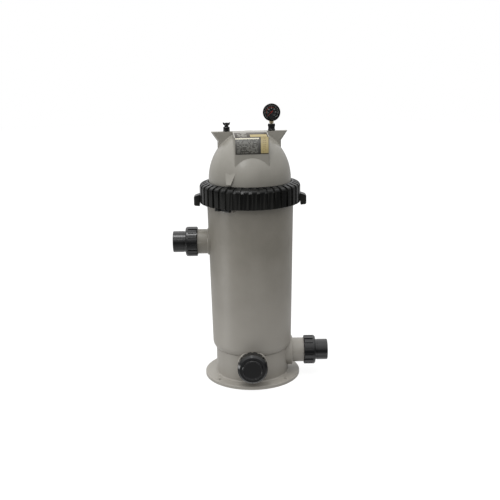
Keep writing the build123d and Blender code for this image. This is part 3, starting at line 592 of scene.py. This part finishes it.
def number_mesh(text, place, size):
    """Mesh of a number, centred at a place on the dial."""
    curve = bpy.data.curves.new("number", "FONT")
    curve.body = text
    curve.size = size
    curve.align_x = "CENTER"
    curve.align_y = "CENTER"
    curve.extrude = (INK_TOP - INK_BASE) / 2
    curve.resolution_u = 3
    holder = bpy.data.objects.new("number", curve)
    bpy.context.scene.collection.objects.link(holder)
    bpy.context.view_layer.update()
    solid = holder.evaluated_get(bpy.context.evaluated_depsgraph_get())
    data = bpy.data.meshes.new_from_object(solid)
    bpy.data.objects.remove(holder)
    lift = Vector((0, 0, (INK_BASE + INK_TOP) / 2))
    data.transform(dial_frame() @ Matrix.Translation(place + lift))
    return data


make_pleats()
make_straps()
make_dial_marks()


# ---------------------------------------------------------------- studio

WHITE = (1.0, 1.0, 1.0, 1.0)
ROOM_GLOW = 0.06               # brightness all round, and what each side of the room adds to it
SIDE_GLOWS = (("X", -1, 0.14), ("Y", 1, 0.42), ("Z", 1, 1.65), ("Z", -1, 0.77))
FLOOR_GLOW = 0.86
FLOOR_R = 9.0
CAMERA_PLACE = (-0.003, -2.8, 1.1652)
CAMERA_PITCH = 14.324          # degrees down
CAMERA_ROLL = -0.86
CAMERA_LENS = 60.0
LIGHTS = (                     # name, place, target, size (metres), power (watts)
    ("top", (-0.3, -0.6, 2.5), (0, 0, 0.75), (0.8, 0.6), 12),
    ("front", (-0.9, -2.3, 2.4), (0, 0, 0.6), (0.45, 0.45), 6.5),
    ("low left", (-1.5, -0.4, -0.1), (-0.1, 0, 0.15), (0.6, 0.4), 4),
    ("low front", (0.1, -0.6, -0.4), (0, 0, 0.15), (0.8, 0.3), 0.5),
)


def area_light(name, place, target, size, power):
    light = bpy.data.lights.new(name, "AREA")
    light.shape = "RECTANGLE"
    light.size, light.size_y = size
    light.energy = power
    piece = bpy.data.objects.new(name, light)
    piece.location = place
    aim = Vector(target) - Vector(place)
    piece.rotation_euler = aim.to_track_quat("-Z", "Y").to_euler()
    piece.visible_camera = False
    bpy.context.scene.collection.objects.link(piece)


def make_camera():
    data = bpy.data.cameras.new("camera")
    data.sensor_width = 36.0
    data.lens = CAMERA_LENS
    camera = bpy.data.objects.new("camera", data)
    look = Euler((math.radians(90 - CAMERA_PITCH), 0, 0)).to_matrix().to_4x4()
    roll = Matrix.Rotation(math.radians(CAMERA_ROLL), 4, "Z")
    camera.matrix_world = Matrix.Translation(CAMERA_PLACE) @ look @ roll
    bpy.context.scene.collection.objects.link(camera)
    bpy.context.scene.camera = camera


def make_world():
    """White behind the object; for lighting, a dim room with a pale ceiling, floor and walls."""
    world = bpy.data.worlds.new("world")
    bpy.context.scene.world = world
    n = Nodes(world, "OutputWorld")
    facing = n.fill(n.add("SeparateXYZ"), n.add("TexCoord").outputs["Generated"])
    glow = ROOM_GLOW
    for axis, sign, power in SIDE_GLOWS:
        toward = n.math("MULTIPLY", facing.outputs[axis], sign, clamp=True)
        glow = n.math("ADD", glow, n.math("MULTIPLY", toward, power))
    camera_ray = n.add("LightPath").outputs["Is Camera Ray"]
    strength = n.add("Mix", Factor=camera_ray, A=glow, B=1.0)
    n.show(n.add("Background", Color=WHITE, Strength=strength))


def make_floor():
    """Pale floor that melts into the white behind it, with a faint shadow under the object."""
    mesh = bmesh.new()
    bmesh.ops.create_circle(mesh, cap_ends=True, segments=96, radius=FLOOR_R)
    data = bpy.data.meshes.new("floor")
    mesh.to_mesh(data)
    mesh.free()
    floor = bpy.data.objects.new("floor", data)
    floor.location = (0, 0, -0.5 * MM)
    bpy.context.scene.collection.objects.link(floor)
    n = new_material("floor")
    haze = n.noise(n.place(), 3.0, 3.0)
    paint = n.add("BsdfDiffuse", Color=n.mix(haze, rgb(122, 122, 121), rgb(126, 126, 125)))
    glow = n.add("Emission", Color=WHITE, Strength=FLOOR_GLOW)
    pale = n.fill(n.add("AddShader"), paint, glow)
    camera_ray = n.add("LightPath").outputs["Is Camera Ray"]
    shown = n.fill(n.add("MixShader"), camera_ray, n.add("BsdfTransparent"), pale)
    data.materials.append(n.show(shown))


for name, place, target, size, power in LIGHTS:
    area_light(name, place, target, size, power)
make_floor()
make_world()
make_camera()
bpy.context.scene.view_settings.view_transform = "Standard"
